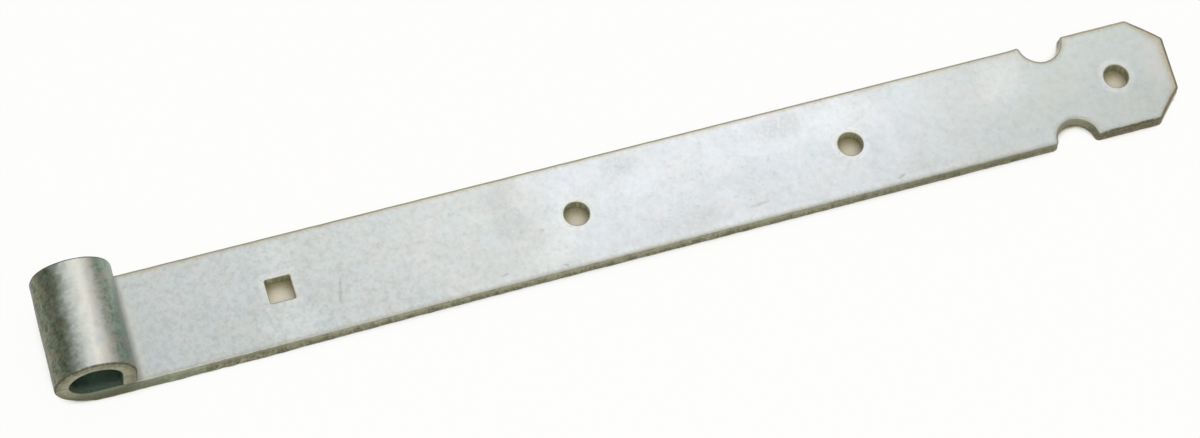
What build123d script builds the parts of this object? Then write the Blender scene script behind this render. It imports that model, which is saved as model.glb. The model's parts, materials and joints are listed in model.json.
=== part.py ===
"""Strap leaf of a gate hinge: one length of flat steel bar, with an end rolled into an eye for a pin.

The origin is at the middle of the eye's bore. +X runs along the strap to its tip, +Y along the bore,
and +Z out of the face that the eye stands on.
"""
import os
from math import cos, radians, sin

from build123d import *

os.makedirs("parts", exist_ok=True)

# Flat bar
bar_width = 40.0
bar_thickness = 5.0
edge_round = 0.7  # softened edges along the bar and round its tip

# Rolled eye
eye_bore = 18.5  # inside diameter, for an 18 mm pin
eye_lap = 3.0  # degrees that the bar curls past three quarters of a turn
seam_gap = 0.3  # between the bar's rolled end and the strap's face

# Strap
strap_reach = 400.0  # from the eye's axis to the tip
tip_chamfer = 10.0  # leg of each 45 degree corner
corner_round = 1.0

# Square hole for a coach bolt's neck
square_hole_at = 68.5  # from the eye's axis
square_hole_side = 9.0
square_corner_round = 0.6

# Round bolt holes in a row, counted back from the tip
bolt_hole_count = 3
bolt_hole_diameter = 9.0
bolt_hole_pitch = 102.0
tip_hole_inset = 20.5  # from the tip to the nearest hole
rim_round = 0.4  # drawn-in rims of all punched holes

# Half-round bite out of each long edge
notch_diameter = 15.0
notch_inset = 43.0  # from the tip

# Places that follow, measured from the eye's axis
eye_radius = eye_bore / 2
eye_outer_radius = eye_radius + bar_thickness
face_height = -eye_radius
underside_height = -eye_outer_radius
rolled_end_height = face_height + seam_gap
roll_turn = 270 + eye_lap
notch_at = strap_reach - notch_inset
bolt_holes_at = [strap_reach - tip_hole_inset - bolt_hole_pitch * i for i in range(bolt_hole_count)]


def rolled_end_point(radius):
    """Where the bar's straight drop, which leaves the eye's arc of this radius, stops above the strap."""
    lap = radians(eye_lap)
    start = Vector(radius * cos(lap), -radius * sin(lap))
    drop_length = (start.Y - rolled_end_height) / cos(lap)
    return start + Vector(-sin(lap), -cos(lap)) * drop_length


def is_worn(edge):
    """True for the outline of the strap's two faces and for the eye's rims, but not for lines across the eye."""
    return edge.center().X > eye_outer_radius or abs(edge.center().Y) > bar_width / 4


with BuildPart() as hinge_strap:
    # The bar seen edge on: along the strap and round the eye
    with BuildSketch(Plane.XZ):
        with BuildLine():
            outside = CenterArc((0, 0), eye_outer_radius, -eye_lap, roll_turn)
            inside = CenterArc((0, 0), eye_radius, -eye_lap, roll_turn)
            Polyline(
                outside @ 1,
                (strap_reach, underside_height),
                (strap_reach, face_height),
                inside @ 1,
            )
            Polyline(
                inside @ 0,
                rolled_end_point(eye_radius),
                rolled_end_point(eye_outer_radius),
                outside @ 0,
            )
        make_face()
        rolled_end = vertices().filter_by_position(Axis.Y, rolled_end_height, rolled_end_height)
        fillet(rolled_end, edge_round)
    extrude(amount=bar_width / 2, both=True)

    # The bar seen from above: cropped corners at the tip and the bites out of its edges
    with BuildSketch(Plane.XY.offset(underside_height)):
        plan_length = strap_reach + eye_outer_radius
        with Locations((strap_reach - plan_length / 2, 0)):
            Rectangle(plan_length, bar_width)
        chamfer(vertices().group_by(Axis.X)[-1], tip_chamfer)
        with Locations((notch_at, -bar_width / 2), (notch_at, bar_width / 2)):
            Circle(notch_diameter / 2, mode=Mode.SUBTRACT)
        fillet(vertices().filter_by(lambda corner: corner.X > 0), corner_round)
    extrude(amount=2 * eye_outer_radius, mode=Mode.INTERSECT)
    fillet(edges().filter_by(Axis.Z, reverse=True).filter_by(is_worn), edge_round)

    # Punched holes
    with BuildSketch(Plane.XY.offset(face_height)):
        with Locations((square_hole_at, 0)):
            RectangleRounded(square_hole_side, square_hole_side, square_corner_round)
        with Locations(*[(x, 0) for x in bolt_holes_at]):
            Circle(bolt_hole_diameter / 2)
    extrude(amount=-bar_thickness, mode=Mode.SUBTRACT)
    hole_walls = faces(Select.LAST).filter_by(Axis.Z, reverse=True)
    fillet(hole_walls.edges().filter_by(Axis.Z, reverse=True), rim_round)

hinge_strap.part.label = "hinge_strap"
export_step(hinge_strap.part, "parts/hinge_strap.step")
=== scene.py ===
"""Dresses the strap leaf of a gate hinge: flat steel bar, sheared, punched, rolled and zinc plated.

The strap is made as in the shop. A flat blank is cut and punched, its end is rolled into the eye, and the
zinc finish goes on last. Lengths are in metres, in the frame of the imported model.
"""

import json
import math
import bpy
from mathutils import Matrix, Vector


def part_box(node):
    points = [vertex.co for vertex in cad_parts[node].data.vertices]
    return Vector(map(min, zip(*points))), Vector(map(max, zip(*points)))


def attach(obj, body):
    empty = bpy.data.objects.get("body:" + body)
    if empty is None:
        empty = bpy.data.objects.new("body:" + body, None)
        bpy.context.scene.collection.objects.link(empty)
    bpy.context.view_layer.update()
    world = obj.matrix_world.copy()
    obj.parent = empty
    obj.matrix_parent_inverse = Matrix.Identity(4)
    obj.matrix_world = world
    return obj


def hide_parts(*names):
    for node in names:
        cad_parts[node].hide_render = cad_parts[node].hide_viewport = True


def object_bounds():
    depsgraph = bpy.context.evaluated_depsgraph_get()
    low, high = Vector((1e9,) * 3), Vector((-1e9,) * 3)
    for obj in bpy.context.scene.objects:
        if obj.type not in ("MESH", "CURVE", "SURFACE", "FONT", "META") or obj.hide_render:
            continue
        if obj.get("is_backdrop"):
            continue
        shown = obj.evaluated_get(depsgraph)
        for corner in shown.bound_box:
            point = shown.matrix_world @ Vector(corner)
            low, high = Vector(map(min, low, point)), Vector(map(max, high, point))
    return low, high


bl_info = {
    "name": "Hinge Strap",
    "version": (1, 0, 0),
    "blender": (4, 5, 0),
    "location": "3D View > Sidebar > Hinge Strap",
    "description": "Rolls a zinc-plated hinge strap from a flat blank and sets it on a pale studio floor",
    "category": "Object",
}

import bmesh
import bpy
from bpy.props import FloatProperty, FloatVectorProperty, IntProperty, PointerProperty
from mathutils import Matrix, Vector, noise
from mathutils.geometry import delaunay_2d_cdt

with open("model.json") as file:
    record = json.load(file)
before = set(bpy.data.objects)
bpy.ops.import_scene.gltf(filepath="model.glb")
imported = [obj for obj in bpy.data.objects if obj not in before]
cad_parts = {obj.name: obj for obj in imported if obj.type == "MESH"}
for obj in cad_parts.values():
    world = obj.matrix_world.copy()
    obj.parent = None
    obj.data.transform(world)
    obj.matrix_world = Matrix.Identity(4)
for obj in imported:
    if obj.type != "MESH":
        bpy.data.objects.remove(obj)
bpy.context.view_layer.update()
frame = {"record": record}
strap_low, strap_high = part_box("hinge_strap")

MM = 0.001
mounts = {mount["name"]: mount for mount in frame["record"]["mounts"]}
bolt_row = mounts["outer_bolts"]["dims"]
bolt_diameter = 2 * bolt_row["hole_r_mm"] * MM
bolt_pitch = bolt_row["spacing_x_mm"] * MM
bore_diameter = 2 * mounts["pin_bore"]["dims"]["r_mm"] * MM
square_hole_place = mounts["square_hole"]["pos_m"][0]

# Spacing of the mesh
ROLLED_STEP = 0.7 * MM
CORNER_STEP = 0.2 * MM
BITE_STEP = 0.4 * MM
ROUND_HOLE_STEP = 0.35 * MM
SAME_POINT = 0.01 * MM
NET_MARGIN = 0.9 * MM
NET_COLUMN_SHARE = 0.9

# Profile of a sheared edge
ROUND_ROWS = 5
RIM_WIDTH = 0.13 * MM
TEAR_HALF_WIDTH = 0.12 * MM
TEAR_SHARE = 0.52
PUNCHED_LEAN = 0.10 * MM
EYE_LEAN_GAIN = 1.5

# Where cutting, punching and rolling have moved or stained the bar
EYE_SWELL_END = 165 * MM
EYE_SWELL_FULL = 65 * MM
BACK_SPREAD_FULL = 14 * MM
BACK_SWELL_LEAD = 13 * MM
TIP_SWELL_LENGTH = 7 * MM
TIP_GROWTH_LENGTH = 15 * MM
FRONT_SWELL_SHARE = 0.6
TIP_END_MM = 388
FRONT_STAIN = 1.9 * MM
BACK_STAIN = 2.5 * MM
END_STAIN = 2.4 * MM
DISH_WIDTH = 3.4 * MM

# Camera and studio
CAMERA_AZIMUTH = math.radians(-25.93)
CAMERA_ELEVATION = math.radians(65.28)
CAMERA_LEAN = math.radians(9.52)
CAMERA_AIM = Vector((183.77, -2.16, -14.25)) * MM
CAMERA_DISTANCE = 1.1962
SENSOR_WIDTH = 36.0
LAMPS_AIM = Vector((0.19, 0.0, 0.0))
FLOOR_HALF_SIZE = 12.0
FLOOR_GAP = 0.02 * MM
OPEN_SHADE_REACH = 0.012
HOLE_SHADE_REACH = 0.009
HOLE_LIGHT_DIRECTION = (0.1, 0.76, 0.64)
SKY_COLOUR = (0.97, 1.0, 0.98, 1.0)
SKY_TOP_DIRECTION = (0.16, 0.0, 0.987)
WHITE = (1.0, 1.0, 1.0, 1.0)


# Sizes and colours that a user would change

def length_setting(name, description, default):
    """A length in metres, shown in the scene's units."""
    return FloatProperty(
        name=name, description=description, default=default, min=0.0, precision=4, unit="LENGTH"
    )


def colour_setting(name, description, default):
    """A linear colour without alpha."""
    return FloatVectorProperty(
        name=name, description=description, default=default, min=0.0, max=1.0, size=3, subtype="COLOR"
    )


def drift_setting(name, description, default):
    """A small shift along and across the blank."""
    return FloatVectorProperty(
        name=name, description=description, default=default, size=2, precision=4, unit="LENGTH"
    )


def angle_setting(name, description, degrees):
    """An angle, given in degrees."""
    return FloatProperty(
        name=name, description=description, default=math.radians(degrees), subtype="ANGLE"
    )


def power_setting(name, description, default):
    """A lamp's power in watts."""
    return FloatProperty(name=name, description=description, default=default, min=0.0, unit="POWER")


def level_setting(name, description, default):
    """A plain number from nothing upwards."""
    return FloatProperty(name=name, description=description, default=default, min=0.0, precision=3)


class HingeStrapSizes(bpy.types.PropertyGroup):
    """Sizes of the blank, its holes and its eye"""

    bar_width: length_setting("Bar width", "Width of the flat bar", strap_high.y - strap_low.y)
    bar_thickness: length_setting("Bar thickness", "Thickness of the flat bar", 5 * MM)
    strap_reach: length_setting("Reach", "From the eye's axis to the tip", strap_high.x)
    eye_bore: length_setting("Eye bore", "Inside diameter of the eye", bore_diameter)
    eye_lap: angle_setting("Eye lap", "How far the bar curls past three quarters of a turn", 3)
    seam_gap: length_setting("Seam gap", "Gap between the rolled end and the strap's face", 0.3 * MM)
    tip_chamfer: length_setting("Tip chamfer", "Leg of the tip's cropped corners", 10 * MM)
    corner_round: length_setting("Corner round", "Radius of the outline's corners", 1.35 * MM)
    edge_round: length_setting("Edge round", "Radius of the bar's softened edges", 0.7 * MM)
    rim_round: length_setting("Rim round", "Radius of the punched holes' drawn-in rims", 0.4 * MM)
    square_hole_at: length_setting("Square hole place", "From the eye's axis", square_hole_place)
    square_hole_side: length_setting("Square hole side", "Side of the square hole", 9 * MM)
    square_corner_round: length_setting("Square corners", "Radius in the square hole's corners", 0.6 * MM)
    bolt_hole_count: IntProperty(name="Bolt holes", description="Round holes in the row", default=3, min=1)
    bolt_hole_diameter: length_setting("Bolt hole", "Diameter of the round holes", bolt_diameter)
    bolt_hole_pitch: length_setting("Bolt hole pitch", "Between round holes", bolt_pitch)
    tip_hole_inset: length_setting("Tip hole inset", "From the tip to the nearest round hole", 20.5 * MM)
    notch_diameter: length_setting("Notch", "Diameter of the bite out of each long edge", 15 * MM)
    notch_inset: length_setting("Notch inset", "From the tip to the bites' middle", 43 * MM)
    front_bite_drift: drift_setting(
        "Front bite drift", "How far the front bite is off its place", (0.6 * MM, 0.45 * MM)
    )
    back_bite_drift: drift_setting(
        "Back bite drift", "How far the back bite is off its place", (0.0, 0.3 * MM)
    )
    back_bite_growth: length_setting("Back bite growth", "Extra radius of the back bite", 0.4 * MM)
    tip_spread: length_setting("Tip spread", "How far the edges swell out beside the bites", 0.4 * MM)
    tip_growth: length_setting("Tip growth", "How far the cropped end stands out", 0.75 * MM)
    tip_skew: angle_setting("Tip skew", "How far the cropped end is out of square", 4.3)
    eye_skew: angle_setting("Eye skew", "How far the rolled eye is out of square with the strap", 1.1)
    edge_spread: length_setting("Edge spread", "How far the front edge swells beside the eye", 0.45 * MM)
    back_spread: length_setting("Back spread", "How far the back edge stands out", 0.2 * MM)
    shear_lean: length_setting("Shear lean", "How far the foot of a sheared edge stands out", 0.32 * MM)
    net_step: length_setting("Net step", "Spacing of the mesh on the two faces", 1.25 * MM)
    face_wave: length_setting("Face wave", "Depth of the rolled faces' unevenness", 0.02 * MM)
    eye_wave: length_setting("Eye wave", "Depth of the flats that rolling leaves round the eye", 0.2 * MM)


class HingeStrapFinish(bpy.types.PropertyGroup):
    """Colours of the zinc plating and of the sheared edges"""

    zinc_cool: colour_setting("Zinc, cool", "Bluish middle part of the plating", (0.704, 0.713, 0.758))
    zinc_warm: colour_setting("Zinc, warm", "Greyer part of the plating", (0.63, 0.635, 0.622))
    zinc_green: colour_setting("Zinc, green", "Part with a trace of passivation", (0.592, 0.64, 0.595))
    zinc_rosy: colour_setting("Zinc, rosy", "Faint warm clouds in the plating", (0.70, 0.645, 0.62))
    zinc_blue: colour_setting("Zinc, blue", "Faint cold clouds in the plating", (0.56, 0.635, 0.70))
    # Pale zinc also paints light onto the back bite's wall
    zinc_pale_and_sheen: colour_setting("Zinc, pale", "Patches, hole surrounds and back bite", (0.80, 0.81, 0.81))
    zinc_mint: colour_setting("Zinc, mint", "Faint green clouds in the plating", (0.60, 0.68, 0.615))
    zinc_mauve: colour_setting("Zinc, mauve", "Faint purple clouds in the plating", (0.675, 0.625, 0.665))
    # Painted highlight: the crown and shoulder colours are lighter than the face to paint the eye's
    # highlight
    crown_highlight_zinc: colour_setting("Zinc, crown", "Bright plating on the eye's crown", (0.79, 0.745, 0.66))
    shoulder_highlight_zinc: colour_setting("Zinc, shoulder", "Bright plating behind the crown", (0.70, 0.745, 0.69))
    # Besides small flecks and scuffs, this colour also paints shade on the front of the face
    fleck_and_shade: colour_setting("Fleck", "Small dark flecks in the plating", (0.34, 0.36, 0.36))
    # These tarnish colours are partly real tarnish and partly painted shade on the eye's flanks
    tarnish_and_shade: colour_setting("Tarnish", "Dull back of the rolled eye", (0.07, 0.088, 0.05))
    tarnish_pale: colour_setting("Tarnish, pale", "Paler grains in the tarnish", (0.275, 0.308, 0.205))
    green_tarnish_and_shade: colour_setting("Tarnish, green", "Dull eye and edge by the strap", (0.31, 0.41, 0.293))
    # The edge colours are kept dark partly as painted shade, besides the sheared steel's own khaki
    burnished_edge: colour_setting("Burnished edge", "Upper part of sheared edges", (0.39, 0.385, 0.27))
    torn_edge: colour_setting("Torn edge", "Lower part of the sheared edges", (0.135, 0.136, 0.078))
    edge_tan: colour_setting("Tan edge", "Back edge, and specks by the tip", (0.62, 0.56, 0.40))
    rust: colour_setting("Rust", "Brown spots on the edges", (0.30, 0.19, 0.11))
    punched_wall: colour_setting("Punched wall", "Walls of the punched holes", (0.62, 0.63, 0.43))
    punched_rim: colour_setting("Punched rim", "Rims of the holes, and the tip's end", (0.62, 0.57, 0.50))
    # The bore's colours are darkened as painted shade, besides its thin, dull plating
    bore_plating_and_shade: colour_setting("Inside of the eye", "Thin, dull plating in the bore", (0.36, 0.47, 0.39))
    mouth_film_and_shade: colour_setting("Mouth of the eye", "Olive film just inside the bore", (0.13, 0.168, 0.10))
    stain: colour_setting("Stain", "Stain along the front edges", (0.41, 0.385, 0.32))
    warm_stain: colour_setting("Warm stain", "Stain along the back edges", (0.47, 0.41, 0.285))
    # Also paints the shade in the seam and on the face beside the rolled end
    grime_and_shade: colour_setting("Grime", "Dark line in the seam and round the eye's rims", (0.085, 0.066, 0.042))
    pale_strip: colour_setting("Pale strip", "Strip of the face beside the rolled end", (0.72, 0.70, 0.64))
    face_roughness: level_setting("Face roughness", "Roughness of the plated faces", 0.33)
    edge_roughness: level_setting("Edge roughness", "Roughness of the sheared edges", 0.6)


class HingeStrapStage(bpy.types.PropertyGroup):
    """Floor, light and camera"""

    floor_colour: colour_setting("Floor", "Colour of the floor", (1.0, 0.88, 0.70))
    floor_shade: colour_setting("Floor shade", "Colour of the shaded floor", (0.29, 0.25, 0.14))
    floor_white: level_setting("Floor white", "How far the open floor is brought up to white", 0.95)
    sky_top: level_setting("Overhead light", "Strength of the studio's pale ceiling", 0.84)
    sky_side: level_setting("Side light", "Strength of the studio's walls near the floor", 0.25)
    softbox_power: power_setting("Overhead softbox", "Power of the softbox overhead", 1.15)
    fill_power: power_setting("Front softbox", "Power of the wide softbox in front", 14.0)
    lens: FloatProperty(name="Lens", description="Focal length on a 36 mm sensor", default=102.17, min=1.0)


# The flat blank: loops of points with steel always on their left

def arc(centre, radius, start, end, step):
    """Points along an arc, between two angles in degrees."""
    sweep = math.radians(end - start)
    count = max(4, math.ceil(abs(sweep) * radius / step))
    angles = [math.radians(start) + sweep * i / count for i in range(count + 1)]
    return [Vector((centre[0] + radius * math.cos(a), centre[1] + radius * math.sin(a))) for a in angles]


def run(start, end, step):
    """Points along a straight run."""
    start = Vector(start)
    end = Vector(end)
    count = max(1, math.ceil((end - start).length / step))
    return [start.lerp(end, i / count) for i in range(count + 1)]


def closed(*runs):
    """One closed loop out of runs that follow each other, without repeated points."""
    loop = []
    for point in [point for one in runs for point in one]:
        if not loop or (point - loop[-1]).length > SAME_POINT:
            loop.append(point)
    if (loop[0] - loop[-1]).length < SAME_POINT:
        loop.pop()
    return loop


def rolled_end_drop(sizes, radius):
    """Length of the straight drop that follows the eye's arc of this radius, down to the seam."""
    end_height = sizes.seam_gap - sizes.eye_bore / 2
    return (-radius * math.sin(sizes.eye_lap) - end_height) / math.cos(sizes.eye_lap)


def rolled_length(sizes):
    """(length of the arc, length of the drop) along the middle of the bar's thickness."""
    middle = (sizes.eye_bore + sizes.bar_thickness) / 2
    return middle * (1.5 * math.pi + sizes.eye_lap), rolled_end_drop(sizes, middle)


def bites(sizes):
    """(middle, radius) of the bite in the front edge, and of the one in the back edge."""
    half = sizes.bar_width / 2
    at = sizes.strap_reach - sizes.notch_inset
    radius = sizes.notch_diameter / 2
    front = Vector((at, -half)) + Vector(sizes.front_bite_drift)
    back = Vector((at, half)) + Vector(sizes.back_bite_drift)
    return (front, radius), (back, radius + sizes.back_bite_growth)


def long_side(sizes, bite, radius):
    """Runs from the middle of the rolled end along the front edge and round a bite to the tip's middle."""
    half = sizes.bar_width / 2
    corner = sizes.corner_round
    rise = corner - bite.y - half
    lean = math.degrees(math.asin(rise / (radius + corner)))
    lead = math.sqrt((radius + corner) ** 2 - rise ** 2)
    crop = sizes.strap_reach - sizes.tip_chamfer
    tangent = corner * math.tan(math.pi / 8)
    slant = tangent * math.sqrt(0.5)
    tip = sizes.strap_reach
    end = -sum(rolled_length(sizes))
    return [
        run((end, 0), (end, corner - half), sizes.net_step),
        arc((end + corner, corner - half), corner, 180, 270, CORNER_STEP),
        run((end + corner, -half), (0, -half), ROLLED_STEP),
        run((0, -half), (bite.x - lead, -half), sizes.net_step),
        arc((bite.x - lead, corner - half), corner, -90, -lean, CORNER_STEP),
        arc(bite, radius, 180 - lean, lean, BITE_STEP),
        arc((bite.x + lead, corner - half), corner, 180 + lean, 270, CORNER_STEP),
        run((bite.x + lead, -half), (crop - tangent, -half), sizes.net_step),
        arc((crop - tangent, corner - half), corner, -90, -45, CORNER_STEP),
        run((crop + slant, slant - half), (tip - slant, sizes.tip_chamfer - half - slant), sizes.net_step),
        arc((tip - corner, sizes.tip_chamfer - half + tangent), corner, -45, 0, CORNER_STEP),
        run((tip, sizes.tip_chamfer - half + tangent), (tip, 0), sizes.net_step),
    ]


def blank_outline(sizes):
    """The outline of the blank, from the end that gets rolled to the tip and back."""
    (front, front_radius), (back, back_radius) = bites(sizes)
    front_side = long_side(sizes, front, front_radius)
    mirrored = long_side(sizes, Vector((back.x, -back.y)), back_radius)
    back_side = [[Vector((point.x, -point.y)) for point in reversed(one)] for one in reversed(mirrored)]
    return closed(*front_side, *back_side)


def square_punch(sizes):
    """The rim of the square hole."""
    at = sizes.square_hole_at
    corner = sizes.square_corner_round
    side = sizes.square_hole_side / 2 - corner
    step = 0.5 * MM
    bend = 0.15 * MM
    return closed(
        arc((at + side, side), corner, 90, 0, bend),
        run((at + side + corner, side), (at + side + corner, -side), step),
        arc((at + side, -side), corner, 0, -90, bend),
        run((at + side, -side - corner), (at - side, -side - corner), step),
        arc((at - side, -side), corner, -90, -180, bend),
        run((at - side - corner, -side), (at - side - corner, side), step),
        arc((at - side, side), corner, 180, 90, bend),
        run((at - side, side + corner), (at + side, side + corner), step),
    )


def bolt_places(sizes):
    """Distances of the round holes from the eye's axis."""
    last = sizes.strap_reach - sizes.tip_hole_inset
    return [last - sizes.bolt_hole_pitch * i for i in range(sizes.bolt_hole_count)]


def round_punch(sizes, at):
    """The rim of a round hole."""
    return closed(arc((at, 0), sizes.bolt_hole_diameter / 2, 360, 0, ROUND_HOLE_STEP))


def steel_side(loop):
    """For each point of a loop, the direction into the steel."""
    sides = []
    for i, point in enumerate(loop):
        before = (point - loop[i - 1]).normalized()
        after = (loop[(i + 1) % len(loop)] - point).normalized()
        along = (before + after).normalized()
        sides.append(Vector((-along.y, along.x)))
    return sides


def edge_distance(sizes, point):
    """How far a point of the blank's face lies from the outline."""
    half = sizes.bar_width / 2
    across = abs(point.y)
    beyond_crop = (point.x - sizes.strap_reach + across - half + sizes.tip_chamfer) / math.sqrt(2)
    to_bite = min((point - middle).length - radius for middle, radius in bites(sizes))
    to_ends = min(sizes.strap_reach - point.x, point.x + sum(rolled_length(sizes)))
    return min(half - across, to_ends, -beyond_crop, to_bite)


def hole_distance(sizes, point):
    """How far a point of the blank's face lies from the nearest hole."""
    to_square = max(abs(point.x - sizes.square_hole_at), abs(point.y)) - sizes.square_hole_side / 2
    to_middles = min(math.hypot(point.x - at, point.y) for at in bolt_places(sizes))
    return min(to_square, to_middles - sizes.bolt_hole_diameter / 2)


def net_points(sizes):
    """Points all over the blank's face, closer together where it gets rolled."""
    points = []
    margin = sizes.edge_round + NET_MARGIN
    rows = round(sizes.bar_width / sizes.net_step)
    along = -sum(rolled_length(sizes))
    column = 0
    while along < sizes.strap_reach:
        for row in range(rows + 1):
            across = (row + 0.5 * (column % 2)) * sizes.net_step - sizes.bar_width / 2
            point = Vector((along, across))
            if min(edge_distance(sizes, point), hole_distance(sizes, point)) > margin:
                points.append(point)
        column += 1
        along += ROLLED_STEP if along < 0 else sizes.net_step * NET_COLUMN_SHARE
    return points


# Rolling the blank

def rolled(sizes, along, across, height):
    """Where a point of the blank goes once the end is rolled; height counts from the underside."""
    outer = sizes.eye_bore / 2 + sizes.bar_thickness
    half = sizes.bar_width / 2
    swelling = smooth_step(EYE_SWELL_END, EYE_SWELL_FULL, along) * smooth_step(0, -half, across)
    behind = smooth_step(0, BACK_SPREAD_FULL, along) * smooth_step(0, half, across)
    across = across - sizes.edge_spread * swelling + sizes.back_spread * behind
    if along >= 0:
        growth, spread = tip_shift(sizes, along, across)
        return Vector((along + growth, across + spread, height - outer))
    arc_length, drop_length = rolled_length(sizes)
    radius = outer - height
    turn = min(-along / arc_length, 1) * (1.5 * math.pi + sizes.eye_lap)
    drop = max(-along - arc_length, 0) / drop_length * rolled_end_drop(sizes, radius)
    skew = across * math.tan(sizes.eye_skew) * smooth_step(0, math.pi / 2, turn)
    x = skew - radius * math.sin(turn) - drop * math.cos(turn)
    z = -radius * math.cos(turn) + drop * math.sin(turn)
    return Vector((x, across, z))


def tip_shift(sizes, along, across):
    """How far punching the bites and cropping the corners has moved a point of the tip: (along, across)."""
    bite_at = sizes.strap_reach - sizes.notch_inset
    start = bite_at - BACK_SWELL_LEAD if across > 0 else bite_at
    swelling = smooth_step(start, start + TIP_SWELL_LENGTH, along) * across / (sizes.bar_width / 2)
    end = smooth_step(sizes.strap_reach - TIP_GROWTH_LENGTH, sizes.strap_reach, along)
    growth = end * (sizes.tip_growth + across * math.tan(sizes.tip_skew))
    return growth, sizes.tip_spread * swelling * (1 if across > 0 else FRONT_SWELL_SHARE)


def smooth_step(low, high, value):
    """Rises smoothly from 0 at low to 1 at high."""
    t = min(max((value - low) / (high - low), 0), 1)
    return t * t * (3 - 2 * t)


def foot_lean(sizes, place, punched):
    """How far the foot of an edge lies into the steel: holes widen, and the outline stands out."""
    if punched:
        return PUNCHED_LEAN
    along = place.x / MM
    stain_and_shade_beside_eye = smooth_step(110, 40, along)
    return -sizes.shear_lean * (1 + EYE_LEAN_GAIN * stain_and_shade_beside_eye) * smooth_step(-12, 6, along)


def edge_rows(sizes, radius, place, punched):
    """Rows of a sheared edge at one place, from the face down: (into the steel, height, cut, torn)."""
    thick = sizes.bar_thickness
    spot = Vector((place.x, place.y, 0.0)) / MM
    if not punched:
        behind = smooth_step(0, 10, spot.y) * smooth_step(0, 12, spot.x)
        worn = max(behind, smooth_step(TIP_END_MM, 394, spot.x))
        radius = radius * (1 + 0.4 * worn)
    radius = radius * (1 + 0.18 * noise.noise(spot * 0.21))
    lean = foot_lean(sizes, place, punched) * (1 + 0.4 * noise.noise(spot * 0.33 + Vector((0, 0, 5))))
    tear = thick * (TEAR_SHARE + 0.16 * noise.noise(spot * 0.12 + Vector((0, 0, 9))))
    rows = [(radius + RIM_WIDTH, thick, 0.12, 0.0)]
    for step in range(ROUND_ROWS + 1):
        angle = math.radians(90 - 90 * step / ROUND_ROWS)
        height = thick - radius * (1 - math.sin(angle))
        rows.append((radius * (1 - math.cos(angle)), height, 0.2 + 0.09 * step, 0.0))
    rows.append((0.0, (tear + thick - radius) / 2, 0.85, 0.1))
    rows.append((0.0, tear + TEAR_HALF_WIDTH, 0.95, 0.3))
    rows.append((0.2 * lean, tear - TEAR_HALF_WIDTH, 1.0, 0.6))
    for part in (0.7, 0.4):
        ragged = 0.035 * MM * noise.noise(spot * 1.7 + Vector((0, 0, 20 * part)))
        height = radius + (tear - radius) * part
        rows.append((lean * (1 - 0.8 * part) + ragged, height, 1.0, 1.0 - 0.3 * part))
    for step in range(ROUND_ROWS + 1):
        angle = math.radians(90 * step / ROUND_ROWS)
        height = radius * (1 - math.sin(angle))
        rows.append((lean + radius * (1 - math.cos(angle)), height, 1 - 0.16 * step, 1.0))
    rows.append((lean + radius + RIM_WIDTH, 0.0, 0.12, 0.0))
    return rows


def shear_edge(mesh, sizes, layers, loop, radius, punched):
    """Makes the edge along a loop; returns its rings of vertices on the face and on the underside."""
    rings = []
    for point, side in zip(loop, steel_side(loop)):
        ring = []
        for inward, height, cut, torn in edge_rows(sizes, radius, point, punched):
            flat = point + side * inward
            vertex = mesh.verts.new(rolled(sizes, flat.x, flat.y, height))
            vertex[layers["blank"]] = Vector((flat.x, flat.y, height))
            vertex[layers["sheared"]] = cut
            vertex[layers["torn"]] = torn
            vertex[layers["punched"]] = float(punched)
            vertex[layers["dished"]] = float(punched)
            ring.append(vertex)
        rings.append(ring)
    for i, ring in enumerate(rings):
        other = rings[(i + 1) % len(rings)]
        for j in range(len(ring) - 1):
            mesh.faces.new((ring[j], ring[j + 1], other[j + 1], other[j]))
    return [ring[0] for ring in rings], [ring[-1] for ring in rings]


def span_face(mesh, sizes, layers, rings, net, height):
    """Fills one face of the bar between its edges with a net of triangles."""
    blank = layers["blank"]
    fixed = [vertex for ring in rings for vertex in ring]
    points = [vertex[blank].to_2d() for vertex in fixed] + net
    borders = []
    first = 0
    for ring in rings:
        borders += [(first + i, first + (i + 1) % len(ring)) for i in range(len(ring))]
        first += len(ring)
    spots, _, triangles, origins, _, _ = delaunay_2d_cdt(points, borders, [], 1, 1e-7)
    holes = {vertex: number for number, ring in enumerate(rings[1:]) for vertex in ring}
    corners = []
    for spot, origin in zip(spots, origins):
        if origin and origin[0] < len(fixed):
            corners.append(fixed[origin[0]])
            continue
        vertex = mesh.verts.new(rolled(sizes, spot.x, spot.y, height))
        vertex[blank] = Vector((spot.x, spot.y, height))
        at_end = smooth_step(TIP_END_MM * MM, 397 * MM, spot.x) * smooth_step(-16 * MM, -8 * MM, spot.y)
        stain_width = (BACK_STAIN if spot.y > 0 else FRONT_STAIN) + at_end * END_STAIN
        vertex[layers["sheared"]] = 0.10 * smooth_step(stain_width, 0.9 * MM, edge_distance(sizes, spot))
        vertex[layers["dished"]] = smooth_step(DISH_WIDTH, 0.6 * MM, hole_distance(sizes, spot))
        corners.append(vertex)
    for triangle in triangles:
        vertices = [corners[i] for i in triangle]
        hole = holes.get(vertices[0])
        if hole is not None and all(holes.get(vertex) == hole for vertex in vertices):
            continue
        mesh.faces.new(vertices if height > 0 else vertices[::-1])


def work_surface(mesh, sizes, layers):
    """Gives the faces the slight unevenness of rolled bar, and the eye its flats."""
    mesh.normal_update()
    for vertex in mesh.verts:
        spot = vertex.co / MM
        along = vertex[layers["blank"]].x / MM
        in_eye = smooth_step(4, -8, along)
        depth = sizes.face_wave * (1 - in_eye) + sizes.eye_wave * in_eye
        broad = noise.noise(Vector((spot.x * 0.09, spot.y * 0.062, spot.z * 0.09)))
        small = noise.noise(spot * 0.27 + Vector((31, 7, 3)))
        vertex.co += vertex.normal * depth * (broad + 0.35 * small)


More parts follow.
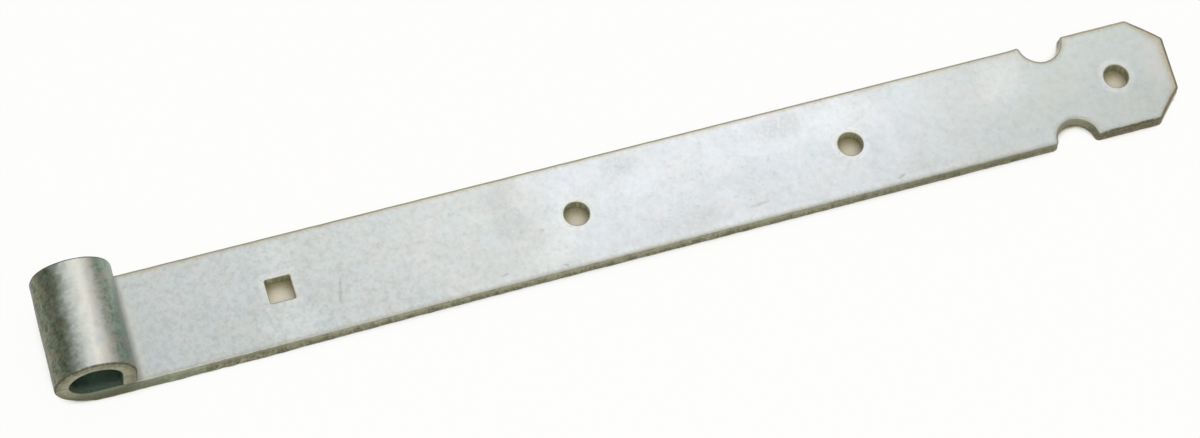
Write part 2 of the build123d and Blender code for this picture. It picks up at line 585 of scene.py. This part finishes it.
def roll_strap(sizes):
    """The strap's mesh: sheared edges, punched holes, two faces, rolled up and slightly uneven."""
    mesh = bmesh.new()
    layers = {"blank": mesh.verts.layers.float_vector.new("blank")}
    for name in ("sheared", "torn", "punched", "dished"):
        layers[name] = mesh.verts.layers.float.new(name)
    punches = [square_punch(sizes)] + [round_punch(sizes, at) for at in bolt_places(sizes)]
    edges = [shear_edge(mesh, sizes, layers, blank_outline(sizes), sizes.edge_round, False)]
    edges += [shear_edge(mesh, sizes, layers, loop, sizes.rim_round, True) for loop in punches]
    net = net_points(sizes)
    span_face(mesh, sizes, layers, [face for face, _ in edges], net, sizes.bar_thickness)
    span_face(mesh, sizes, layers, [under for _, under in edges], net, 0.0)
    work_surface(mesh, sizes, layers)
    data = bpy.data.meshes.new("rolled_hinge_strap")
    mesh.to_mesh(data)
    mesh.free()
    data.shade_smooth()
    return data


# Finishes

class Shade:
    """One value in a finish: sums and products of such values add the Math nodes that work them out."""

    def __init__(self, tree, socket=None):
        self.tree = tree
        self.socket = socket

    def node(self, kind, settings=None, inputs=None, output=0):
        """Adds a node, sets its settings first, then its sockets' values or links, and gives one output."""
        node = self.tree.nodes.new(kind)
        for name, value in (settings or {}).items():
            setattr(node, name, value)
        for key, value in (inputs or {}).items():
            if isinstance(value, Shade):
                self.tree.links.new(value.socket, node.inputs[key])
            else:
                node.inputs[key].default_value = value
        return Shade(self.tree, node.outputs[output] if len(node.outputs) else None)

    def maths(self, operation, *values):
        return self.node("ShaderNodeMath", {"operation": operation}, dict(enumerate(values)))

    def vector(self, operation, *values):
        output = "Value" if operation == "DOT_PRODUCT" else "Vector"
        return self.node("ShaderNodeVectorMath", {"operation": operation}, dict(enumerate(values)), output)

    def mixed(self, first, second, amount):
        """A colour between two others."""
        inputs = {0: amount, 6: opaque(first), 7: opaque(second)}
        return self.node("ShaderNodeMix", {"data_type": "RGBA"}, inputs, 2)

    def layered(self, colour, *layers):
        """A colour with others laid over it in turn: (colour, amount)."""
        for over, amount in layers:
            colour = self.mixed(colour, over, amount)
        return colour

    def axis(self, letter):
        """One coordinate of a place."""
        return self.node("ShaderNodeSeparateXYZ", None, {0: self}, letter)

    def ramp(self, low, high):
        """Rises smoothly from 0 where this value is low to 1 where it is high."""
        inputs = {"Value": self, "From Min": low, "From Max": high}
        return self.node("ShaderNodeMapRange", {"interpolation_type": "SMOOTHSTEP"}, inputs)

    def cloud(self, place, scale, detail=2.0, roughness=0.5):
        """Soft noise from 0 to 1."""
        inputs = {"Vector": place, "Scale": scale, "Detail": detail, "Roughness": roughness}
        return self.node("ShaderNodeTexNoise", None, inputs, "Fac")

    def __add__(self, other):
        return self.maths("ADD", self, other)

    def __sub__(self, other):
        return self.maths("SUBTRACT", self, other)

    def __rsub__(self, other):
        return self.maths("SUBTRACT", other, self)

    def __mul__(self, other):
        return self.maths("MULTIPLY", self, other)

    __radd__ = __add__
    __rmul__ = __mul__


def opaque(colour):
    """A colour with full alpha, or a link as it is."""
    return colour if isinstance(colour, Shade) else (*colour[:3], 1.0)


def new_finish(name):
    """An empty node material; returns it with a Shade to build on."""
    finish = bpy.data.materials.new(name)
    finish.use_nodes = True
    finish.node_tree.nodes.clear()
    return finish, Shade(finish.node_tree)


# Marks on the face, in millimetres: middle, half length and half width, turn in degrees, core, strength
PALE_PATCHES = (
    ((70.0, 13.0), (11.0, 6.5), 0, 0.0, 1.0),
    ((70.0, -13.0), (15.0, 7.0), 0, 0.0, 1.3),
    ((168.0, -6.0), (9.0, 11.0), 0, 0.0, 1.0),
    ((161.0, -14.0), (9.0, 6.0), 0, 0.0, 1.3),
    ((277.0, 11.0), (17.0, 9.0), 0, 0.0, 1.0),
    ((338.0, 9.0), (13.0, 10.0), 0, 0.0, 1.0),
)
SCUFFS = (
    ((88.2, -6.4), (4.4, 0.7), 74.5, 0.5, 0.5),
    ((144.6, -15.8), (1.8, 0.5), 10, 0.5, 0.6),
    ((166.5, -17.9), (1.3, 0.5), 150, 0.5, 0.6),
    ((291.0, -16.9), (1.8, 0.6), 25, 0.5, 0.6),
    ((238.9, -13.7), (4.5, 0.7), 3, 0.5, 0.35),
    ((150.0, 13.5), (9.0, 5.5), 20, 0.1, 0.2),
    ((152.0, 1.5), (8.0, 7.5), 60, 0.1, 0.22),
    ((213.0, -14.0), (18.0, 6.0), 0, 0.0, 0.2),
    ((194.0, 13.0), (9.0, 6.0), 0, 0.0, 0.22),
    ((254.0, 13.0), (12.0, 6.0), 0, 0.0, 0.25),
)


class BlankMap:
    """Where a point of the surface lay on the flat blank, in millimetres, and noises that vary there."""

    def __init__(self, shade):
        self.shade = shade
        blank = shade.node("ShaderNodeAttribute", {"attribute_name": "blank"}, None, "Vector")
        self.place = shade.vector("MULTIPLY", blank, (1 / MM, 1 / MM, 1 / MM))
        self.along = self.place.axis("X")
        self.across = self.place.axis("Y")
        self.height = self.place.axis("Z")
        self.sheared = self.painted("sheared")
        self.torn = self.painted("torn")
        self.punched = self.painted("punched")
        self.dished = self.painted("dished")
        self.on_face = self.height.ramp(4.6, 4.95)
        self.outside = self.height.ramp(2.5, 1.5)
        self.broad = shade.cloud(self.place, 0.03, 3.0)
        self.soft = shade.cloud(self.moved(70.0, 20.0), 0.1, 4.0, 0.6)
        self.tints = shade.cloud(self.moved(5.0, 90.0), 0.22, 2.0, 0.6)
        self.hues = shade.cloud(self.moved(33.0, -60.0), 0.3, 4.0, 0.7)
        self.speckle = shade.cloud(self.moved(11.0, 47.0), 0.4, 2.0, 0.55)
        self.fine = shade.cloud(self.place, 0.85, 3.0, 0.65)
        self.streaks = shade.cloud(shade.vector("MULTIPLY", self.place, (1.1, 1.1, 0.12)), 1.0, 2.0)
        self.flecks = self.fine.ramp(0.60, 0.72) * self.soft.ramp(0.42, 0.62)
        self.in_bites = self.between(346.0, 352.0, 361.0, 366.0)
        self.behind = self.across.ramp(8.0, 15.0)
        self.past_eye = self.along.ramp(2.0, 12.0)
        self.rounded = self.sheared.ramp(0.1, 0.2)

    def painted(self, name):
        """A value that the mesh carries at its vertices."""
        return self.shade.node("ShaderNodeAttribute", {"attribute_name": name}, None, "Fac")

    def moved(self, along, across):
        return self.shade.vector("ADD", self.place, (along, across, 0.0))

    def between(self, start, risen, falling, end):
        """1 along a part of the blank and 0 before and after it."""
        return self.along.ramp(start, risen) * self.along.ramp(end, falling)

    def marks(self, rows):
        """Marks on the face, added up."""
        total = 0.0
        for where, reach, turn, core, strength in rows:
            total = total + self.spot(where, reach, turn, core) * strength
        return total

    def spot(self, where, reach, turn, core):
        """1 in the core of a mark on the face and 0 outside it."""
        x = self.along - where[0]
        y = self.across - where[1]
        angle = math.radians(turn)
        lengthwise = (x * math.cos(angle) + y * math.sin(angle)) * (1 / reach[0])
        crosswise = (y * math.cos(angle) - x * math.sin(angle)) * (1 / reach[1])
        apart = lengthwise * lengthwise + crosswise * crosswise
        return apart.ramp(1.1, core) * self.on_face


def plated_face(shade, settings, at):
    """Mottled zinc: cooler in the middle and by the eye, greener towards both ends, with painted shade in
    front.
    """
    middle = (at.along + (at.broad - 0.5) * 50).ramp(148, 178)
    middle = middle * (at.along + (at.soft - 0.5) * 40).ramp(335, 262)
    near_eye = (at.along + (at.soft - 0.5) * 50).ramp(85, 25)
    cool = middle * 0.8 + at.broad.ramp(0.3, 0.7) * 0.2 + near_eye * 0.4
    ends = shade.maths("ABSOLUTE", at.along - 205).ramp(95, 215)
    green = at.soft.ramp(0.42, 0.75) * 0.2 + ends * (0.7 - near_eye * 0.4)
    lively = 0.5 + at.along.ramp(190, 70) * 0.5 + at.along.ramp(0, -20) * 0.6
    tinted = lively + at.along.ramp(295, 340) * 0.5 + at.along.ramp(-10, -20) * 0.5
    drifts = shade.cloud(at.moved(140, 35), 0.085, 1)
    pale = at.marks(PALE_PATCHES) * 0.35 + (at.dished + (at.fine - 0.5) * 0.4).ramp(0.15, 0.95) * 0.9
    grain = at.flecks * 0.16 + at.fine.ramp(0.38, 0.72) * 0.15 + at.speckle.ramp(0.38, 0.72) * 0.2
    blotches = at.tints.ramp(0.35, 0.7) * 0.09
    # Painted shade: the face is darkened towards its front edge, as if less light fell there
    front_side = at.across.ramp(16, -18) * at.along.ramp(0, 12)
    return shade.layered(
        settings.zinc_warm,
        (settings.zinc_cool, cool),
        (settings.zinc_green, green),
        (settings.zinc_rosy, at.tints.ramp(0.45, 0.8) * 0.4 * tinted),
        (settings.zinc_blue, at.tints.ramp(0.53, 0.25) * 0.4 * tinted),
        (settings.zinc_mint, at.hues.ramp(0.5, 0.25) * 0.55),
        (settings.zinc_mauve, at.hues.ramp(0.5, 0.75) * 0.55),
        (settings.zinc_rosy, drifts.ramp(0.5, 0.75) * 0.22),
        (settings.zinc_blue, drifts.ramp(0.5, 0.25) * 0.2),
        (settings.zinc_pale_and_sheen, pale),
        (settings.fleck_and_shade, grain * lively * 1.15 + blotches + front_side * 0.16),
    )


def eye_tarnish_shade_and_highlight(shade, settings, at, colour):
    """Olive tarnish with painted shade on the eye's flanks, and a painted highlight on its crown; gives the
    colour and the mask of tarnish and shade.
    """
    # Tarnish and painted shade: the eye's back flank is darkened olive, the flank over the strap teal
    patchy = at.along + (at.soft - 0.5) * 5 + (at.speckle - 0.5) * 4
    back = (patchy + (at.fine - 0.5) * 5).ramp(-36.2, -30.2)
    back = back * at.along.ramp(30, -4) * at.outside
    over_strap = (patchy + (at.fine - 0.5) * 3).ramp(-41.9, -46.6)
    over_strap = over_strap * (1 - at.along.ramp(-47.2, -49.4) * 0.22) * at.outside
    crown = at.between(-51, -45, -30, -24) * at.outside
    # Painted highlight: lighter zinc laid along the eye's crown
    bright = shade.layered(
        settings.shoulder_highlight_zinc,
        (settings.crown_highlight_zinc, (at.along + (at.tints - 0.5) * 14).ramp(-33, -40)),
        (settings.zinc_rosy, at.tints.ramp(0.5, 0.72) * 0.4),
        (settings.zinc_blue, at.tints.ramp(0.5, 0.28) * 0.4),
    )
    mottle = shade.cloud(shade.vector("MULTIPLY", at.place, (0.5, 0.24, 0.3)), 1, 3, 0.6)
    grains = at.fine.ramp(0.36, 0.66) * 0.55 + mottle.ramp(0.32, 0.68) * 0.45
    olive = shade.layered(
        settings.tarnish_and_shade,
        (settings.tarnish_pale, grains),
        (settings.rust, at.tints.ramp(0.5, 0.68) * 0.34),
    )
    teal = shade.layered(
        settings.tarnish_and_shade,
        (settings.green_tarnish_and_shade, grains + 0.3),
        (settings.stain, at.tints.ramp(0.48, 0.66) * 0.75),
        (settings.zinc_blue, at.tints.ramp(0.48, 0.3) * 0.2),
    )
    dulled = mottle.ramp(0.45, 0.75) * at.between(-47, -43, -30, -24) * at.outside
    colour = shade.layered(
        colour,
        (bright, crown * 0.75),
        (olive, back * 0.95),
        (teal, over_strap * 0.9),
        (settings.fleck_and_shade, dulled * 0.25),
    )
    return colour, back + over_strap


def sheared_edge(shade, settings, at):
    """Colour of the sheared edges, partly their own and partly painted shade: burnished above, torn below,
    greener by the eye, browner at the tip.
    """
    patches = shade.cloud(shade.vector("MULTIPLY", at.place, (0.25, 0.25, 0.1)), 1, 2)
    tearing = at.torn * 0.34 + (at.streaks - 0.5) * 0.7 + (at.fine - 0.5) * 1.5 + (patches - 0.5) * 0.9
    cropped = at.along.ramp(TIP_END_MM, 393)
    beyond_bites = at.along.ramp(362, 370) * (1 - cropped * 0.6)
    towards_tip = at.along.ramp(240, 320) * at.height.ramp(1.2, 2.6)
    # Painted shade: the foot of the eye's ring and the front edge beside it are darkened, and the top of
    # the front edge up to the square hole is darkened over its highlight, with a greenish stain by the eye
    shade_under_eye = at.between(-16, -6, 10, 31)
    in_front = at.across.ramp(0, -10)
    stain_and_shade_beside_eye = at.between(8, 16, 32, 42) * in_front
    shade_by_square_hole = at.between(34, 42, 60, 80) * in_front
    soiled = at.speckle.ramp(0.48, 0.72) * at.along.ramp(10, -2)
    wall = shade.mixed(settings.punched_wall, settings.torn_edge, at.streaks.ramp(0.42, 0.58) * 0.5)
    near_face = at.height.ramp(3.9, 4.6)
    back_side = at.behind * at.past_eye * (1 - at.punched)
    brown = shade.mixed(settings.rust, settings.grime_and_shade, at.speckle.ramp(0.3, 0.65))
    return shade.layered(
        settings.burnished_edge,
        (settings.torn_edge, tearing.ramp(-0.22, 0.6)),
        (settings.rust, at.speckle.ramp(0.55, 0.7) * 0.25),
        (settings.torn_edge, towards_tip * 0.6),
        (settings.torn_edge, beyond_bites * 0.85),
        (settings.tarnish_and_shade, beyond_bites * at.fine.ramp(0.44, 0.58) * 0.75),
        (settings.edge_tan, beyond_bites * at.fine.ramp(0.46, 0.32) * 0.25),
        (settings.rust, beyond_bites * (at.height.ramp(2.4, 1.2) * 0.12 + 0.18)),
        (settings.punched_rim, cropped * 0.4),
        (settings.burnished_edge, at.along.ramp(-7, -14) * 0.35),
        (settings.burnished_edge, at.in_bites * 0.6),
        (settings.torn_edge, shade_under_eye * at.fine.ramp(0.15, 0.45) * 0.9),
        (settings.green_tarnish_and_shade, stain_and_shade_beside_eye * 0.34),
        (settings.torn_edge, shade_by_square_hole * at.height.ramp(2, 3.6) * 0.35),
        (settings.tarnish_and_shade, soiled * 0.4),
        (wall, at.punched * 0.85),
        (settings.punched_rim, at.punched * near_face * 0.8),
        (settings.edge_tan, back_side * near_face * 0.85),
        # Painted light: the back bite's wall is laid over with pale zinc so that it shows bright
        (settings.zinc_pale_and_sheen, back_side * at.in_bites * 0.95),
        (brown, cropped * near_face * 0.55),
    )


def zinc_plate(settings):
    """Satin zinc plating with faint mottling and flecks; khaki sheared edges and a dark bore, both partly
    painted shade.
    """
    finish, shade = new_finish("zinc_plate_on_steel")
    at = BlankMap(shade)
    scuffs = at.marks(SCUFFS) * at.fine.ramp(0.25, 0.5)
    rosy_end = at.spot((397, 2), (9, 13), 0, 0)
    colour = shade.layered(
        plated_face(shade, settings, at),
        (settings.fleck_and_shade, scuffs),
        (settings.zinc_rosy, rosy_end * 0.5),
    )
    colour, tarnish_and_shade = eye_tarnish_shade_and_highlight(shade, settings, at, colour)

    # Sheared edges, with a warm stain beside them
    stained = (at.sheared + (at.fine - 0.5) * 0.1).ramp(0, 0.14)
    stained = stained * (1 - at.punched * 0.6) * at.along.ramp(-4, 3)
    at_end = at.along.ramp(TIP_END_MM, 396)
    warm = shade.maths("MAXIMUM", at.across.ramp(0, 10), at_end)
    stain = shade.mixed(settings.stain, settings.warm_stain, warm)
    cut = at.sheared + (at.fine - 0.5) * 0.22 + (at.speckle - 0.5) * 0.14
    cut = cut + at.along.ramp(364, 372) * at.rounded * 0.25
    cut = cut + at.behind * at.rounded * at.past_eye * 0.1
    # Painted light: the back bite keeps less edge colour, so its wall shows lighter
    ragged = cut.ramp(0.18, 0.68) * (1 - at.in_bites * at.behind * 0.65)

    # Inside of the eye: thin plating with painted shade, an olive mouth with painted shade, and painted
    # shade on the lip
    in_eye = at.along.ramp(9.8, 8.6)
    inside = in_eye * at.height.ramp(4.45, 4.9) * (1 - ragged)
    depth = shade.maths("ABSOLUTE", at.across) + (at.fine - 0.5) * 5
    mouth = inside * depth.ramp(16.2, 20.2)
    lip_shade = in_eye * at.rounded * at.height.ramp(3, 4) * (1 - ragged)

    # Grime round the eye's rims, and grime with painted shade in the seam and beside the rolled end
    rim = at.sheared.ramp(0.16, 0.4) * at.sheared.ramp(0.98, 0.7) * at.height.ramp(1.2, 0.6)
    rim = rim * at.along.ramp(-4, -9) * at.fine.ramp(0.2, 0.55)
    under_end = at.between(8.9, 9.7, 14, 16.8) * at.height.ramp(4.2, 4.5)
    seam = (at.along.ramp(-62.9, -63.8) + under_end) * (1 - ragged * 0.6)

    # Pale strip on the face, beside the rolled end
    beside = (at.along + (at.soft - 0.5) * 4).ramp(20.5, 15) * at.along.ramp(11, 14) * at.on_face

    colour = shade.layered(
        colour,
        (stain, stained * (0.6 + at_end * 0.35)),
        (sheared_edge(shade, settings, at), ragged),
        (settings.bore_plating_and_shade, inside * 0.92),
        (settings.mouth_film_and_shade, mouth),
        (settings.mouth_film_and_shade, lip_shade * 0.7),
        (settings.grime_and_shade, rim * 0.7 + seam * 0.85),
        (settings.pale_strip, beside * (1 - ragged) * 0.35),
    )
    roughness = settings.face_roughness + (at.soft - 0.5) * 0.1 + at.flecks * 0.12
    roughness = roughness + at.along.ramp(0, -16) * at.outside * 0.1 + tarnish_and_shade * 0.06
    roughness = roughness + ragged * (settings.edge_roughness - settings.face_roughness)
    grain = at.fine * 0.35 + at.streaks * ragged * 1.2 - scuffs * 0.8
    relief = {"Strength": 0.35, "Distance": 0.03 * MM, "Height": grain}
    plating = {
        "Base Color": colour,
        "Metallic": 1.0 - 0.4 * ragged - 0.7 * mouth,
        "Roughness": roughness,
        "Normal": shade.node("ShaderNodeBump", None, relief, "Normal"),
    }
    surface = shade.node("ShaderNodeBsdfPrincipled", None, plating)
    shade.node("ShaderNodeOutputMaterial", None, {"Surface": surface})
    return finish


def floor_paint(settings):
    """Matt paint, tan in the holes' shade, that shows as white where nothing shades it, mirrored too."""
    finish, shade = new_finish("studio_floor_paint")
    camera = shade.node("ShaderNodeLightPath", None, None, "Is Camera Ray")
    glossy = shade.node("ShaderNodeLightPath", None, None, "Is Glossy Ray")
    through = shade.node("ShaderNodeLightPath", None, None, "Is Transmission Ray")
    seen = shade.maths("MINIMUM", camera + glossy + through, 1.0)
    fine = {"samples": 12}
    overhead = {"Distance": OPEN_SHADE_REACH}
    open_floor = shade.node("ShaderNodeAmbientOcclusion", fine, overhead, "AO")
    behind = shade.node("ShaderNodeCombineXYZ", None, dict(enumerate(HOLE_LIGHT_DIRECTION)))
    from_behind = {"Distance": HOLE_SHADE_REACH, "Normal": behind}
    lit_floor = shade.node("ShaderNodeAmbientOcclusion", fine, from_behind, "AO")
    place = shade.node("ShaderNodeNewGeometry", None, None, "Position")
    sideways = shade.maths("ABSOLUTE", place.axis("Y"))
    lengthwise = place.axis("X")
    covered = sideways.ramp(strap_high.y * 0.68, strap_high.y * 0.62)
    covered = covered * lengthwise.ramp(0.0, 20 * MM)
    covered = covered * lengthwise.ramp(strap_high.x, strap_high.x - 5 * MM)
    bright = open_floor.ramp(0.445, 0.535) * (1 - covered)
    bright = bright + lit_floor.ramp(0.42, 0.58) * covered * 0.26
    white = seen * bright * settings.floor_white
    tint = shade.mixed(settings.floor_shade, settings.floor_colour, lit_floor.ramp(0.24, 0.62))
    matt = {"Base Color": tint, "Roughness": 1.0, "Specular IOR Level": 0.0}
    paint = shade.node("ShaderNodeBsdfPrincipled", None, matt)
    glow = shade.node("ShaderNodeEmission", None, {"Color": WHITE, "Strength": 1.0})
    surface = shade.node("ShaderNodeMixShader", None, {0: white, 1: paint, 2: glow})
    shade.node("ShaderNodeOutputMaterial", None, {"Surface": surface})
    return finish


# Pieces

def place_strap(context):
    """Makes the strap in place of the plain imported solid."""
    scene = context.scene
    strap = bpy.data.objects.new("zinc_hinge_strap", roll_strap(scene.hinge_strap_sizes))
    strap.data.materials.append(zinc_plate(scene.hinge_strap_finish))
    scene.collection.objects.link(strap)
    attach(strap, "root")
    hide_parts("hinge_strap")
    return strap


def lay_floor(context, settings):
    """A wide plain floor just under the strap."""
    low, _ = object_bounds()
    mesh = bmesh.new()
    bmesh.ops.create_grid(mesh, x_segments=8, y_segments=8, size=FLOOR_HALF_SIZE)
    data = bpy.data.meshes.new("studio_floor")
    mesh.to_mesh(data)
    mesh.free()
    data.materials.append(floor_paint(settings))
    floor = bpy.data.objects.new("studio_floor", data)
    floor.location.z = low.z - FLOOR_GAP
    context.scene.collection.objects.link(floor)
    floor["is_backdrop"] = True


def hang_softbox(context, name, towards, distance, width, depth, power):
    """A rectangular lamp that faces the middle of the strap from this direction."""
    lamp = bpy.data.lights.new(name, "AREA")
    lamp.shape = "RECTANGLE"
    lamp.size = width
    lamp.size_y = depth
    lamp.energy = power
    softbox = bpy.data.objects.new(name, lamp)
    away = Vector(towards).normalized()
    softbox.location = LAMPS_AIM + away * distance
    softbox.rotation_mode = "QUATERNION"
    softbox.rotation_quaternion = away.to_track_quat("Z", "Y")
    context.scene.collection.objects.link(softbox)


def light_studio(context, settings):
    """A pale ceiling that darkens towards the floor, a softbox overhead and a wide one in front."""
    world = bpy.data.worlds.new("studio_sky")
    world.use_nodes = True
    world.node_tree.nodes.clear()
    context.scene.world = world
    shade = Shade(world.node_tree)
    direction = shade.node("ShaderNodeTexCoord", None, None, "Generated")
    height = shade.vector("DOT_PRODUCT", direction, SKY_TOP_DIRECTION)
    lift = height.ramp(0.32, 0.85)
    strength = settings.sky_side + lift * (settings.sky_top - settings.sky_side)
    sky = shade.node("ShaderNodeBackground", None, {"Color": SKY_COLOUR, "Strength": strength})
    shade.node("ShaderNodeOutputWorld", None, {"Surface": sky})
    overhead = {"towards": (0.22, 0.377, 0.905), "distance": 1.5, "width": 0.5, "depth": 0.9}
    in_front = {"towards": (-0.15, -0.55, 0.82), "distance": 2.4, "width": 2.4, "depth": 1.6}
    hang_softbox(context, "overhead_softbox", power=settings.softbox_power, **overhead)
    hang_softbox(context, "front_softbox", power=settings.fill_power, **in_front)


def set_camera(context, settings):
    """The camera stands to the left of the strap, well above it, and leans a little."""
    back = Vector((
        math.sin(CAMERA_AZIMUTH) * math.cos(CAMERA_ELEVATION),
        -math.cos(CAMERA_AZIMUTH) * math.cos(CAMERA_ELEVATION),
        math.sin(CAMERA_ELEVATION),
    ))
    level = Vector((math.cos(CAMERA_AZIMUTH), math.sin(CAMERA_AZIMUTH), 0.0))
    upright = back.cross(level)
    right = level * math.cos(CAMERA_LEAN) + upright * math.sin(CAMERA_LEAN)
    up = upright * math.cos(CAMERA_LEAN) - level * math.sin(CAMERA_LEAN)
    data = bpy.data.cameras.new("photo_camera")
    data.sensor_width = SENSOR_WIDTH
    data.lens = settings.lens
    data.clip_start = 0.01
    camera = bpy.data.objects.new("photo_camera", data)
    pose = Matrix((right, up, back)).transposed().to_4x4()
    pose.translation = CAMERA_AIM + back * CAMERA_DISTANCE
    camera.matrix_world = pose
    context.scene.collection.objects.link(camera)
    context.scene.camera = camera


class HINGE_OT_roll_strap(bpy.types.Operator):
    """Cut, punch and roll the strap, and plate it with zinc"""

    bl_idname = "hinge.roll_strap"
    bl_label = "Roll the Strap"

    def execute(self, context):
        strap = place_strap(context)
        if len(strap.data.polygons) == 0:
            raise RuntimeError("the strap has no faces")
        return {"FINISHED"}


class HINGE_OT_set_stage(bpy.types.Operator):
    """Lay the floor, light the studio and set the camera"""

    bl_idname = "hinge.set_stage"
    bl_label = "Set the Stage"

    def execute(self, context):
        settings = context.scene.hinge_strap_stage
        lay_floor(context, settings)
        light_studio(context, settings)
        set_camera(context, settings)
        context.scene.view_settings.view_transform = "Standard"
        return {"FINISHED"}


class HINGE_PT_strap(bpy.types.Panel):
    """Sizes, colours and steps of the hinge strap"""

    bl_idname = "HINGE_PT_strap"
    bl_label = "Hinge Strap"
    bl_space_type = "VIEW_3D"
    bl_region_type = "UI"
    bl_category = "Hinge Strap"

    def draw(self, context):
        layout = self.layout
        layout.use_property_split = True
        scene = context.scene
        for group in (scene.hinge_strap_sizes, scene.hinge_strap_finish, scene.hinge_strap_stage):
            box = layout.box()
            for name in group.__annotations__:
                box.prop(group, name)
        layout.operator(HINGE_OT_roll_strap.bl_idname)
        layout.operator(HINGE_OT_set_stage.bl_idname)


CLASSES = (
    HingeStrapSizes,
    HingeStrapFinish,
    HingeStrapStage,
    HINGE_OT_roll_strap,
    HINGE_OT_set_stage,
    HINGE_PT_strap,
)


def register():
    for one in CLASSES:
        bpy.utils.register_class(one)
    bpy.types.Scene.hinge_strap_sizes = PointerProperty(type=HingeStrapSizes)
    bpy.types.Scene.hinge_strap_finish = PointerProperty(type=HingeStrapFinish)
    bpy.types.Scene.hinge_strap_stage = PointerProperty(type=HingeStrapStage)


def unregister():
    del bpy.types.Scene.hinge_strap_stage
    del bpy.types.Scene.hinge_strap_finish
    del bpy.types.Scene.hinge_strap_sizes
    for one in reversed(CLASSES):
        bpy.utils.unregister_class(one)


def main():
    register()
    bpy.ops.hinge.roll_strap()
    bpy.ops.hinge.set_stage()


if __name__ == "__main__":
    main()
